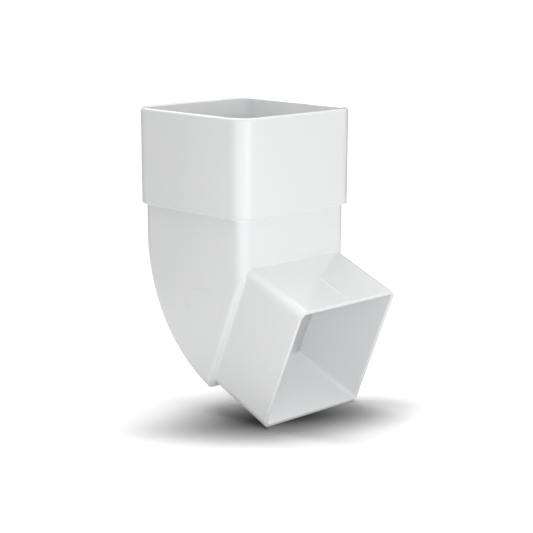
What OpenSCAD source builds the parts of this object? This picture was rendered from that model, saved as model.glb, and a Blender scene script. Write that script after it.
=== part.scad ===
// Offset bend for a square plastic downpipe: a socket on top, a curved body and a slanted spigot.
// The origin is on the socket's axis at the pipe stop. +Z runs up the socket, +X is the outlet side.

/* [Pipe] */
// Outside width of the square downpipe
pipe_w = 65; // [55:0.5:75]
// Outside corner radius of the downpipe
pipe_corner = 5.4; // [4.5:0.1:8]
// Wall of the downpipe that slides over the spigot
pipe_wall = 2; // [1.5:0.1:2.5]

/* [Moulding] */
// Wall of the fitting
wall = 1.9; // [1.6:0.1:2.6]
// Angle of the outlet below the horizontal
tilt = 22.5; // [15:0.5:35]

/* [Socket] */
// Depth from the rim to the pipe stop
socket_depth = 41; // [30:1:60]
// Gap on each side between the pipe and the foot of the socket
socket_gap = 0.4; // [0.2:0.05:0.8]
// Draft that widens the socket towards its rim, in degrees
socket_draft = 0.2; // [0:0.05:0.6]
// Thickness of the step under the pipe stop
stop_t = 2; // [1.8:0.1:3]
// Rounding of the rim's outer edge
rim_round = 1.1; // [0.6:0.1:1.2]
// Chamfer of the rim's inner edge
rim_lead = 0.4; // [0.2:0.1:0.6]
// Rounding of the shoulder's outer edge
shoulder_round = 0.5; // [0.3:0.1:1.6]

/* [Body] */
// Straight length of the back wall below the pipe stop
straight = 17.5; // [10:0.5:26]
// Radius of the bend on its centre line
bend_r = 37.5; // [36:0.5:44]
// Distance along the outlet axis from where the axes cross to the body's end face
body_reach = 23.5; // [22:0.1:26]
// Depth of the body's inner end wall behind its outer end face
end_wall = 3.2; // [2.4:0.1:3.6]
// Rounding of the body's end edge
end_round = 1.6; // [0.8:0.1:2]

/* [Spigot] */
// Length of the spigot beyond the body's end face
spigot_len = 34.7; // [25:0.1:50]
// Gap on each side between the spigot's mouth and the pipe over it
spigot_gap = 0.5; // [0.3:0.05:0.8]
// Draft that widens the spigot towards its mouth, in degrees
spigot_draft = 0.65; // [0:0.05:0.9]
// Outside corner radius of the spigot at its mouth
spigot_corner = 4; // [3.4:0.1:4.6]
// Inside corner radius of the spigot at its mouth
spigot_inner_corner = 2.1; // [1.6:0.1:2.6]
// Height of the spigot's axis above the bend's centre line
spigot_rise = 0.44; // [0:0.02:0.8]
// Rounding of the mouth's outer edge
mouth_round = 0.35; // [0.2:0.05:0.6]
// Chamfer of the mouth's inner edge
mouth_lead = 0.5; // [0.2:0.05:0.7]
// Radius of the fillet between the spigot and the body's end face
root_fillet = 1; // [0.5:0.1:1.2]
// Chamfer that fills the crease between the spigot's top and the body's front
crease_fill = 0.5; // [0.3:0.05:0.8]
// Width of the parting ridge along the spigot's top
ridge_w = 0.5; // [0.3:0.05:0.8]
// Height of the parting ridge
ridge_h = 0.15; // [0.1:0.05:0.3]
// Distance from the parting ridge's end to the mouth
ridge_stop = 1.2; // [0.8:0.1:4]

/* [Hidden] */
$fn = 64;
// Cut depth past a surface, so that no cut ends flush with one
past = 1;
// How deep a fillet or ridge is sunk in the solids that it joins
sunk = 0.3;
// An arc that rounds an edge or fills a corner has its centre this many times the rounding away from
// both faces, and this many times it as its radius, so that it meets them at a small angle
arc_centre = 1.14;
arc_radius = 1.15;
// How much the corners of a cut or fillet differ from those it follows, so that their seams stay apart
seam_shift = 0.3;
// Far enough to cut or reach through the whole fitting
through = 3 * pipe_w;
body_inner = pipe_w - 2 * wall;
body_inner_corner = pipe_corner - wall;
// Widths and corners at the foot of the socket
bore_w = pipe_w + 2 * socket_gap;
bore_corner = pipe_corner + socket_gap;
socket_w = bore_w + 2 * wall;
socket_corner = bore_corner + wall;
// Width at the spigot's mouth
mouth_w = pipe_w - 2 * pipe_wall - 2 * spigot_gap;
sweep = 90 - tilt;
bend_z = -straight;
// Distance along either axis from where they cross to the arc of the bend
arc_end = bend_r * tan(sweep / 2);
cross_z = bend_z - arc_end;
mouth_at = body_reach + spigot_len;
// The spigot's foot, inside the body's end wall
root_at = body_reach - end_wall;
root_w = mouth_w - 2 * (mouth_at - root_at) * tan(spigot_draft);
root_corner = spigot_corner - (mouth_at - root_at) * tan(spigot_draft);

// The profile cut off an outer edge at the origin, of a solid that lies to the left and below
module edge_cut(r) {
    translate([-arc_centre * r, -arc_centre * r])
        difference() {
            square(arc_centre * r + past);
            circle(arc_radius * r);
        }
}

module rounded_square(w, r) {
    square([w - 2 * r, w], center = true);
    square([w, w - 2 * r], center = true);
    for (sx = [-1, 1], sy = [-1, 1])
        translate([sx * (w / 2 - r), sy * (w / 2 - r)])
            circle(r);
}

module prism(w, r, height) {
    linear_extrude(height) rounded_square(w, r);
}

// Sweeps a profile round a rounded square, or along some of its sides and corners, counted from its
// +X side. The profile's x is the distance outside the square, and its y becomes the height.
module sweep_round(w, r, sides = [0 : 3], corners = [0 : 3]) {
    side = w - 2 * r;
    for (turn = sides)
        rotate([0, 0, 90 * turn])
            translate([side / 2, 0, 0])
                rotate([90, 0, 0])
                    linear_extrude(side, center = true)
                        translate([r, 0]) children();
    for (turn = corners)
        rotate([0, 0, 90 * turn])
            translate([side / 2, side / 2, 0])
                rotate_extrude(angle = 90)
                    translate([r, 0]) children();
}

// A block of width w and corner r at its foot. Its sides lean out, its upper outer edge is rounded,
// and so is its lower one where bottom_r is above 0.
module leaning_block(w, r, height, lean, bottom_r, top_r) {
    band = 0.8 * r;
    core = 0.4 * r;
    prism(w - 2 * core, r - core, height);
    sweep_round(w, r)
        difference() {
            polygon([[-band, 0], [0, 0], [height * tan(lean), height], [-band, height]]);
            translate([height * tan(lean), height]) edge_cut(top_r);
            if (bottom_r > 0) rotate(-90) edge_cut(bottom_r);
        }
}

// The hole in such a block, with a chamfer at its upper mouth
module leaning_hole(w, r, height, lean, chamfer) {
    band = 0.8 * r;
    core = 0.4 * r;
    prism(w - 2 * core, r - core, height + past);
    sweep_round(w, r)
        polygon([
            [-band, 0],
            [0, 0],
            [(height - chamfer) * tan(lean), height - chamfer],
            [height * tan(lean) + chamfer + past, height + past],
            [-band, height + past]
        ]);
}

// Turns +Z to the outlet's direction and -X to its upper side, from where the axes cross
module along_outlet(distance) {
    translate([0, 0, cross_z])
        rotate([0, 90 + tilt, 0])
            translate([0, 0, distance])
                children();
}

// The half of a rounded square on its +X side
module front_half(w, r) {
    intersection() {
        rounded_square(w, r);
        translate([0, -w / 2]) square([w / 2, w]);
    }
}

// The body's form, used for its outside and, one wall smaller, for its inside: upright at the front,
// curved at the back, and cut square across the outlet axis
module bent_form(w, r, top, reach) {
    difference() {
        union() {
            translate([0, 0, bend_z]) prism(w, r, top - bend_z);
            translate([0, 0, bend_z - bend_r]) linear_extrude(bend_r + past) front_half(w, r);
            translate([bend_r, 0, bend_z])
                rotate([90, 0, 0])
                    rotate([0, 0, 180])
                        rotate_extrude(angle = sweep)
                            translate([bend_r, 0]) front_half(w, r);
        }
        along_outlet(reach)
            translate([-through / 2, -through / 2, 0]) cube([through, through, through]);
    }
}

module socket_outside() {
    translate([0, 0, -stop_t])
        leaning_block(socket_w, socket_corner, socket_depth + stop_t, socket_draft, shoulder_round, rim_round);
}

module body_outside() {
    difference() {
        bent_form(pipe_w, pipe_corner, 0, body_reach);
        along_outlet(body_reach)
            sweep_round(pipe_w, pipe_corner - seam_shift, [0, 1, 3], [0, 3]) edge_cut(end_round);
    }
}

module spigot_outside() {
    along_outlet(root_at)
        translate([-spigot_rise, 0, 0])
            leaning_block(root_w, root_corner, mouth_at - root_at, spigot_draft, 0, mouth_round);
}

// Fills the corner between the body's end face and the spigot, as far as the body's front
module end_fillet() {
    flare = end_wall * tan(spigot_draft);
    centre = arc_centre * root_fillet;
    intersection() {
        along_outlet(body_reach)
            translate([-spigot_rise, 0, 0])
                sweep_round(root_w + 2 * flare, root_corner + flare + seam_shift)
                    difference() {
                        translate([-sunk, -sunk]) square(centre + sunk);
                        translate([centre * (1 + tan(spigot_draft)), centre]) circle(arc_radius * root_fillet);
                    }
        translate([0, 0, -through]) prism(pipe_w, pipe_corner, 2 * through);
    }
}

// Fills the crease where the spigot's top leaves the body's front
module crease() {
    fall = tilt - spigot_draft;
    top = spigot_rise + root_w / 2;
    out = pipe_w / 2 - root_at * cos(tilt) - top * sin(tilt);
    foot = crease_fill * [cos(fall), -sin(fall)];
    translate([pipe_w / 2, 0, cross_z - root_at * sin(tilt) + top * cos(tilt) - out * tan(fall)])
        rotate([90, 0, 0])
            linear_extrude(root_w - 2 * root_corner + 2 * seam_shift, center = true)
                polygon([[-sunk, crease_fill], [0, crease_fill], foot, foot - [0, sunk], [-sunk, -sunk]]);
}

// The raised line along the spigot's top where the two halves of the mould met
module parting_ridge() {
    foot = ridge_w / 2 * (1 + sunk / ridge_h);
    along_outlet(root_at)
        translate([-spigot_rise - root_w / 2, 0, 0])
            rotate([0, -spigot_draft, 0])
                linear_extrude(mouth_at - root_at - ridge_stop)
                    polygon([[sunk, -foot], [-ridge_h, 0], [sunk, foot]]);
}

module inside() {
    leaning_hole(bore_w, bore_corner, socket_depth, socket_draft, rim_lead);
    bent_form(body_inner, body_inner_corner, past, root_at);
    length = 2 * end_wall + spigot_len;
    flare = length * tan(spigot_draft);
    along_outlet(mouth_at - length)
        translate([-spigot_rise, 0, 0])
            leaning_hole(mouth_w - 2 * wall - 2 * flare, spigot_inner_corner - flare, length, spigot_draft, mouth_lead);
}

module offset_bend() {
    color("white")
        difference() {
            union() {
                socket_outside();
                body_outside();
                spigot_outside();
                end_fillet();
                crease();
                parting_ridge();
            }
            inside();
        }
}

offset_bend();
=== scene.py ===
"""Looks of the square downpipe offset bend: white gloss plastic on a white floor."""

import math

import bpy
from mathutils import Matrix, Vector

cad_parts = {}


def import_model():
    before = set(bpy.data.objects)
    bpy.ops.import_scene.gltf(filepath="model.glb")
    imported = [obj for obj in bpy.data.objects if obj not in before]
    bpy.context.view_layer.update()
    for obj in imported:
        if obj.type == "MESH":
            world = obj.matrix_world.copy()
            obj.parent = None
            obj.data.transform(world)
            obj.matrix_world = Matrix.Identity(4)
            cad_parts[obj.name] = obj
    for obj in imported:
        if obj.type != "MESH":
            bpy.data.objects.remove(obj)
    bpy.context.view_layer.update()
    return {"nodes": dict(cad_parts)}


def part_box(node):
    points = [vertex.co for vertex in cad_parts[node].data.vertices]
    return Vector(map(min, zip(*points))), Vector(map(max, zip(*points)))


MM = 0.001

# Camera
CAMERA_AZIMUTH = 45.389
CAMERA_ELEVATION = 12.057
CAMERA_ROLL = 0.188
CAMERA_DISTANCE = 668.02 * MM
CAMERA_LENS = 98.896
CAMERA_SENSOR = 36
# How far the point that the camera looks at lies to the right of the socket's axis, and its height
TARGET_RIGHT = 10.04 * MM
TARGET_HEIGHT = -31.516 * MM

# Plastic
PLASTIC = (0.86, 0.865, 0.87)
PLASTIC_ROUGHNESS = 0.2
PLASTIC_IOR = 1.5
GRAIN_DEPTH = 0.05 * MM

# Faint rings on the side faces, left by the moulding: centre, half sizes along X and Z, the wall's Y,
# and the lowest and highest Z at which each one shows
RINGS = [
    ((8, -32.5, -42.1), (12, 6.3), (-46, -30)),
    ((48.1, -29.9, -59.5), (7.2, 7.2), (-68, -64.5)),
]
RING_WIDTH = 0.5
# Small spots: centre and half sizes
SPOTS = [
    ((2.1, -32.5, -9.9), (0.35, 1, 1.2)),
    ((2.1, -32.5, -7.9), (0.8, 1, 0.5)),
    ((-16, -34.9, 20.4), (0.8, 1, 0.6)),
    ((32.1, 27.9, -65.1), (0.6, 1, 0.6)),
]
MARK_DEPTH = 0.05 * MM
MARK_TINT = 0.96

# Floor
FLOOR_COLOUR = (0.82, 0.82, 0.82)
# The floor gives off light to the part though it is no lamp: a painted glow from below, standing in for light
# bounced off the floor
FLOOR_GLOW = 0.17
FLOOR_RADIUS = 0.9
# Between these distances from the part the floor fades to white
FADE_START = 160 * MM
FADE_END = 400 * MM
# A painted shadow, a dark ellipse mixed into the floor's colour to deepen the part's own shadow: its centre to
# the right of the part and behind it as the camera sees it, its half sizes, its turn in degrees and the share
# of the floor's colour that it takes away
PAINTED_SHADOW_CENTRE = (10 * MM, -24.4 * MM)
PAINTED_SHADOW_SIZE = (92 * MM, 38.7 * MM)
PAINTED_SHADOW_TURN = 22.2
PAINTED_SHADOW_DEPTH = 0.96

# Name, azimuth from the camera's, elevation, distance, width and height in metres, power in watts
PART_LAMPS = [
    ("front", 0, 5, 0.34, 0.6, 0.18, 0.63),
    ("front_right", 35, 10, 0.4, 0.25, 0.2, 0.29),
    ("right", 95, 30, 0.5, 0.4, 0.3, 0.41),
    ("left", -110, 35, 0.6, 0.6, 0.5, 0.84),
    ("back_left", -145, 50, 0.6, 0.45, 0.4, 1.54),
    ("back", 180, 55, 0.6, 0.45, 0.4, 1.03),
    ("top", 0, 85, 0.6, 0.9, 0.9, 2.93),
]
FLOOR_LAMPS = [
    ("floor_back", 180, 60, 0.6, 1.0, 0.12, 1.98),
    ("floor_top", 180, 80, 0.6, 1.0, 0.12, 3.02),
]
AMBIENT = 0.06

# Black cards on the floor, which only mirror rays see: azimuth from the camera's, distance from the
# part, the middle's place along the card's own line, width and height in metres
CARDS = [
    ("card_back", 180, 0.35, 0, 1.0, 0.45),
    ("card_left", -90, 0.25, -0.17, 0.35, 0.3),
]
CARD_COLOUR = (0.02, 0.02, 0.02)


def add_node(tree, kind, **values):
    """Adds a shader node and sets its plain attributes."""
    node = tree.nodes.new(kind)
    for name, value in values.items():
        setattr(node, name, value)
    return node


def camera():
    """The camera at the photograph's viewing angle."""
    az = math.radians(CAMERA_AZIMUTH)
    el = math.radians(CAMERA_ELEVATION)
    roll = math.radians(CAMERA_ROLL)
    back = Vector((math.sin(az) * math.cos(el), -math.cos(az) * math.cos(el), math.sin(el)))
    right = Vector((math.cos(az), math.sin(az), 0))
    up = back.cross(right)
    target = right * TARGET_RIGHT + Vector((0, 0, TARGET_HEIGHT))
    rolled_right = right * math.cos(roll) + up * math.sin(roll)
    rolled_up = up * math.cos(roll) - right * math.sin(roll)
    data = bpy.data.cameras.new("camera")
    data.lens = CAMERA_LENS
    data.sensor_width = CAMERA_SENSOR
    data.clip_start = 0.01
    obj = bpy.data.objects.new("camera", data)
    bpy.context.scene.collection.objects.link(obj)
    place = target + back * CAMERA_DISTANCE
    matrix = obj.matrix_world.copy()
    for row in range(3):
        matrix[row][0] = rolled_right[row]
        matrix[row][1] = rolled_up[row]
        matrix[row][2] = back[row]
        matrix[row][3] = place[row]
    obj.matrix_world = matrix
    bpy.context.scene.camera = obj


def lamp(name, azimuth, elevation, distance, width, height, power, centre, lit):
    """A soft lamp on a sphere round the part, turned to its centre, that lights one object only."""
    az = math.radians(CAMERA_AZIMUTH - 90 + azimuth)
    el = math.radians(elevation)
    direction = Vector((math.cos(az) * math.cos(el), math.sin(az) * math.cos(el), math.sin(el)))
    data = bpy.data.lights.new(name, "AREA")
    data.shape = "RECTANGLE"
    data.size = width
    data.size_y = height
    data.energy = power
    obj = bpy.data.objects.new(name, data)
    obj.location = centre + direction * distance
    obj.rotation_euler = direction.to_track_quat("Z", "Y").to_euler()
    obj.visible_camera = False
    obj.light_linking.receiver_collection = bpy.data.collections.new(name + "_lights")
    obj.light_linking.receiver_collection.objects.link(lit)
    bpy.context.scene.collection.objects.link(obj)


def seen_plainly(tree):
    """1 for camera, mirror and transmission rays, 0 for the rays that light things."""
    path = add_node(tree, "ShaderNodeLightPath")
    first = add_node(tree, "ShaderNodeMath", operation="MAXIMUM")
    second = add_node(tree, "ShaderNodeMath", operation="MAXIMUM")
    tree.links.new(path.outputs["Is Camera Ray"], first.inputs[0])
    tree.links.new(path.outputs["Is Glossy Ray"], first.inputs[1])
    tree.links.new(first.outputs[0], second.inputs[0])
    tree.links.new(path.outputs["Is Transmission Ray"], second.inputs[1])
    return second.outputs[0]


def world():
    """White where it is seen and AMBIENT where it lights the part."""
    scene_world = bpy.data.worlds.new("studio")
    scene_world.use_nodes = True
    tree = scene_world.node_tree
    tree.nodes.clear()
    out = add_node(tree, "ShaderNodeOutputWorld")
    background = add_node(tree, "ShaderNodeBackground")
    background.inputs["Color"].default_value = (1, 1, 1, 1)
    strength = add_node(tree, "ShaderNodeMapRange")
    strength.inputs["To Min"].default_value = AMBIENT
    strength.inputs["To Max"].default_value = 1
    tree.links.new(seen_plainly(tree), strength.inputs["Value"])
    tree.links.new(strength.outputs["Result"], background.inputs["Strength"])
    tree.links.new(background.outputs[0], out.inputs["Surface"])
    bpy.context.scene.world = scene_world


def floor_material():
    """Pale floor that fades to plain white away from the part where the camera sees it, with a painted shadow
    darkening its colour under the part and a painted glow that lights the part from below.
    """
    material = bpy.data.materials.new("floor")
    material.use_nodes = True
    tree = material.node_tree
    tree.nodes.clear()
    out = add_node(tree, "ShaderNodeOutputMaterial")
    place = add_node(tree, "ShaderNodeTexCoord")
    # Painted shadow: a dark ellipse, turned and scaled on the floor, mixed into the floor's colour
    fitted = add_node(tree, "ShaderNodeMapping", vector_type="TEXTURE")
    fitted.inputs["Location"].default_value = PAINTED_SHADOW_CENTRE + (0,)
    fitted.inputs["Rotation"].default_value = (0, 0, math.radians(PAINTED_SHADOW_TURN))
    fitted.inputs["Scale"].default_value = PAINTED_SHADOW_SIZE + (1,)
    tree.links.new(place.outputs["Object"], fitted.inputs["Vector"])
    ellipse = add_node(tree, "ShaderNodeVectorMath", operation="LENGTH")
    tree.links.new(fitted.outputs["Vector"], ellipse.inputs[0])
    painted_shadow = add_node(tree, "ShaderNodeMapRange", interpolation_type="SMOOTHSTEP")
    painted_shadow.inputs["To Min"].default_value = PAINTED_SHADOW_DEPTH
    painted_shadow.inputs["To Max"].default_value = 0
    tree.links.new(ellipse.outputs["Value"], painted_shadow.inputs["Value"])
    painted_shadow_colour = add_node(tree, "ShaderNodeMix", data_type="RGBA")
    tree.links.new(painted_shadow.outputs["Result"], painted_shadow_colour.inputs["Factor"])
    painted_shadow_colour.inputs["A"].default_value = FLOOR_COLOUR + (1,)
    painted_shadow_colour.inputs["B"].default_value = (0, 0, 0, 1)
    lit = add_node(tree, "ShaderNodeBsdfDiffuse")
    tree.links.new(painted_shadow_colour.outputs["Result"], lit.inputs["Color"])
    extra = add_node(tree, "ShaderNodeBsdfDiffuse")
    tree.links.new(painted_shadow_colour.outputs["Result"], extra.inputs["Color"])
    bright = add_node(tree, "ShaderNodeAddShader")
    tree.links.new(lit.outputs[0], bright.inputs[0])
    tree.links.new(extra.outputs[0], bright.inputs[1])
    white = add_node(tree, "ShaderNodeEmission")
    white.inputs["Color"].default_value = (1, 1, 1, 1)
    length = add_node(tree, "ShaderNodeVectorMath", operation="LENGTH")
    tree.links.new(place.outputs["Object"], length.inputs[0])
    fade = add_node(tree, "ShaderNodeMapRange", interpolation_type="SMOOTHSTEP")
    fade.inputs["From Min"].default_value = FADE_START
    fade.inputs["From Max"].default_value = FADE_END
    tree.links.new(length.outputs["Value"], fade.inputs["Value"])
    seen = add_node(tree, "ShaderNodeMixShader")
    tree.links.new(fade.outputs["Result"], seen.inputs[0])
    tree.links.new(bright.outputs[0], seen.inputs[1])
    tree.links.new(white.outputs[0], seen.inputs[2])
    # Painted light: the floor glows for the rays that light the part, though it is no lamp
    glow = add_node(tree, "ShaderNodeEmission")
    glow.inputs["Strength"].default_value = FLOOR_GLOW
    bounce_and_glow = add_node(tree, "ShaderNodeAddShader")
    tree.links.new(lit.outputs[0], bounce_and_glow.inputs[0])
    tree.links.new(glow.outputs[0], bounce_and_glow.inputs[1])
    choice = add_node(tree, "ShaderNodeMixShader")
    tree.links.new(seen_plainly(tree), choice.inputs[0])
    tree.links.new(bounce_and_glow.outputs[0], choice.inputs[1])
    tree.links.new(seen.outputs[0], choice.inputs[2])
    tree.links.new(choice.outputs[0], out.inputs["Surface"])
    return material


def floor(height, centre):
    """The floor under the part's lowest edge."""
    bpy.ops.mesh.primitive_circle_add(
        vertices=96, radius=FLOOR_RADIUS, fill_type="NGON", location=(centre[0], centre[1], height)
    )
    obj = bpy.context.object
    obj.name = "floor"
    obj.rotation_euler = (0, 0, math.radians(CAMERA_AZIMUTH))
    obj.data.materials.append(floor_material())
    return obj


def card(name, azimuth, distance, shift, width, height, ground, centre):
    """A black card beside the part that its surface mirrors."""
    az = math.radians(CAMERA_AZIMUTH - 90 + azimuth)
    outward = Vector((math.cos(az), math.sin(az), 0))
    along = Vector((-math.sin(az), math.cos(az), 0))
    bpy.ops.mesh.primitive_plane_add(size=1)
    obj = bpy.context.object
    obj.name = name
    obj.scale = (width, height, 1)
    obj.rotation_euler = (math.pi / 2, 0, az + math.pi / 2)
    middle = Vector((centre[0], centre[1], ground + height / 2))
    obj.location = middle + outward * distance + along * shift
    obj.visible_camera = False
    obj.visible_diffuse = False
    obj.visible_shadow = False
    material = bpy.data.materials.new(name)
    material.use_nodes = True
    tree = material.node_tree
    tree.nodes.clear()
    out = add_node(tree, "ShaderNodeOutputMaterial")
    black = add_node(tree, "ShaderNodeBsdfDiffuse")
    black.inputs["Color"].default_value = CARD_COLOUR + (1,)
    tree.links.new(black.outputs[0], out.inputs["Surface"])
    obj.data.materials.append(material)


def math_node(tree, operation, first, second):
    """A maths node of two inputs, each a socket or a number."""
    node = add_node(tree, "ShaderNodeMath", operation=operation)
    for socket, value in zip(node.inputs, (first, second)):
        if isinstance(value, (int, float)):
            socket.default_value = value
        else:
            tree.links.new(value, socket)
    return node.outputs[0]


def offset_length(tree, place, centre, scale):
    """How far a point lies from the centre, in millimetres times the scale along each axis."""
    offset = add_node(tree, "ShaderNodeVectorMath", operation="SUBTRACT")
    tree.links.new(place, offset.inputs[0])
    offset.inputs[1].default_value = tuple(c * MM for c in centre)
    scaled = add_node(tree, "ShaderNodeVectorMath", operation="MULTIPLY")
    tree.links.new(offset.outputs[0], scaled.inputs[0])
    scaled.inputs[1].default_value = tuple(s / MM for s in scale)
    length = add_node(tree, "ShaderNodeVectorMath", operation="LENGTH")
    tree.links.new(scaled.outputs[0], length.inputs[0])
    return length.outputs["Value"]


def ring_mark(tree, place, axes, centre, radii, span):
    """1 on the visible part of a ring on a side wall, falling to 0 within the ring's width."""
    length = offset_length(tree, place, centre, (1 / radii[0], 0, 1 / radii[1]))
    away = math_node(tree, "ABSOLUTE", math_node(tree, "SUBTRACT", length, 1), 0)
    line = math_node(tree, "MAXIMUM", math_node(tree, "SUBTRACT", 1, math_node(tree, "MULTIPLY", away, radii[0] / RING_WIDTH)), 0)
    on_wall = add_node(tree, "ShaderNodeMath", operation="COMPARE")
    tree.links.new(axes.outputs["Y"], on_wall.inputs[0])
    on_wall.inputs[1].default_value = centre[1] * MM
    on_wall.inputs[2].default_value = MM
    shown = add_node(tree, "ShaderNodeMath", operation="COMPARE")
    tree.links.new(axes.outputs["Z"], shown.inputs[0])
    shown.inputs[1].default_value = (span[0] + span[1]) / 2 * MM
    shown.inputs[2].default_value = (span[1] - span[0]) / 2 * MM
    return math_node(tree, "MULTIPLY", line, math_node(tree, "MULTIPLY", on_wall.outputs[0], shown.outputs[0]))


def spot_mark(tree, place, centre, radii):
    """1 at the middle of a spot, falling to 0 at its edge."""
    length = offset_length(tree, place, centre, tuple(1 / r for r in radii))
    return math_node(tree, "MAXIMUM", math_node(tree, "SUBTRACT", 1, length), 0)


def surface_marks(tree, place):
    """All the moulding marks in one value from 0 to 1."""
    axes = add_node(tree, "ShaderNodeSeparateXYZ")
    tree.links.new(place, axes.inputs[0])
    marks = [ring_mark(tree, place, axes, *ring) for ring in RINGS]
    marks += [spot_mark(tree, place, *spot) for spot in SPOTS]
    total = marks[0]
    for mark in marks[1:]:
        total = math_node(tree, "MAXIMUM", total, mark)
    return total


def plastic_material():
    """Gloss white plastic with a faintly uneven colour, gloss and surface."""
    material = bpy.data.materials.new("gloss_white")
    material.use_nodes = True
    tree = material.node_tree
    tree.nodes.clear()
    out = add_node(tree, "ShaderNodeOutputMaterial")
    shader = add_node(tree, "ShaderNodeBsdfPrincipled")
    shader.inputs["IOR"].default_value = PLASTIC_IOR
    shader.inputs["Specular IOR Level"].default_value = 0.35
    place = add_node(tree, "ShaderNodeTexCoord")
    cloud = add_node(tree, "ShaderNodeTexNoise")
    cloud.inputs["Scale"].default_value = 45
    cloud.inputs["Detail"].default_value = 3
    tree.links.new(place.outputs["Object"], cloud.inputs["Vector"])
    tint = add_node(tree, "ShaderNodeMix", data_type="RGBA")
    tint.inputs["A"].default_value = tuple(0.985 * c for c in PLASTIC) + (1,)
    tint.inputs["B"].default_value = PLASTIC + (1,)
    tree.links.new(cloud.outputs[0], tint.inputs["Factor"])
    marks = surface_marks(tree, place.outputs["Object"])
    marked = add_node(tree, "ShaderNodeMix", data_type="RGBA", blend_type="MULTIPLY")
    tree.links.new(marks, marked.inputs["Factor"])
    tree.links.new(tint.outputs["Result"], marked.inputs["A"])
    marked.inputs["B"].default_value = (MARK_TINT, MARK_TINT, MARK_TINT, 1)
    tree.links.new(marked.outputs["Result"], shader.inputs["Base Color"])
    gloss = add_node(tree, "ShaderNodeMapRange")
    gloss.inputs["To Min"].default_value = PLASTIC_ROUGHNESS - 0.03
    gloss.inputs["To Max"].default_value = PLASTIC_ROUGHNESS + 0.03
    tree.links.new(cloud.outputs[0], gloss.inputs["Value"])
    tree.links.new(gloss.outputs["Result"], shader.inputs["Roughness"])
    grain = add_node(tree, "ShaderNodeTexNoise")
    grain.inputs["Scale"].default_value = 900
    tree.links.new(place.outputs["Object"], grain.inputs["Vector"])
    bump = add_node(tree, "ShaderNodeBump")
    bump.inputs["Strength"].default_value = 0.05
    bump.inputs["Distance"].default_value = GRAIN_DEPTH
    tree.links.new(grain.outputs[0], bump.inputs["Height"])
    dents = add_node(tree, "ShaderNodeBump", invert=True)
    dents.inputs["Distance"].default_value = MARK_DEPTH
    tree.links.new(marks, dents.inputs["Height"])
    tree.links.new(bump.outputs["Normal"], dents.inputs["Normal"])
    tree.links.new(dents.outputs["Normal"], shader.inputs["Normal"])
    tree.links.new(shader.outputs[0], out.inputs["Surface"])
    return material


def main():
    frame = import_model()
    part = frame["nodes"]["offset_bend"]
    part.data.materials.clear()
    part.data.materials.append(plastic_material())
    low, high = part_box("offset_bend")
    centre = (Vector(low) + Vector(high)) / 2
    ground = floor(low[2], centre)
    for values in CARDS:
        card(*values, low[2], centre)
    for values in PART_LAMPS:
        lamp(*values, centre, part)
    for values in FLOOR_LAMPS:
        lamp(*values, centre, ground)
    world()
    camera()
    bpy.context.scene.view_settings.view_transform = "Standard"


main()
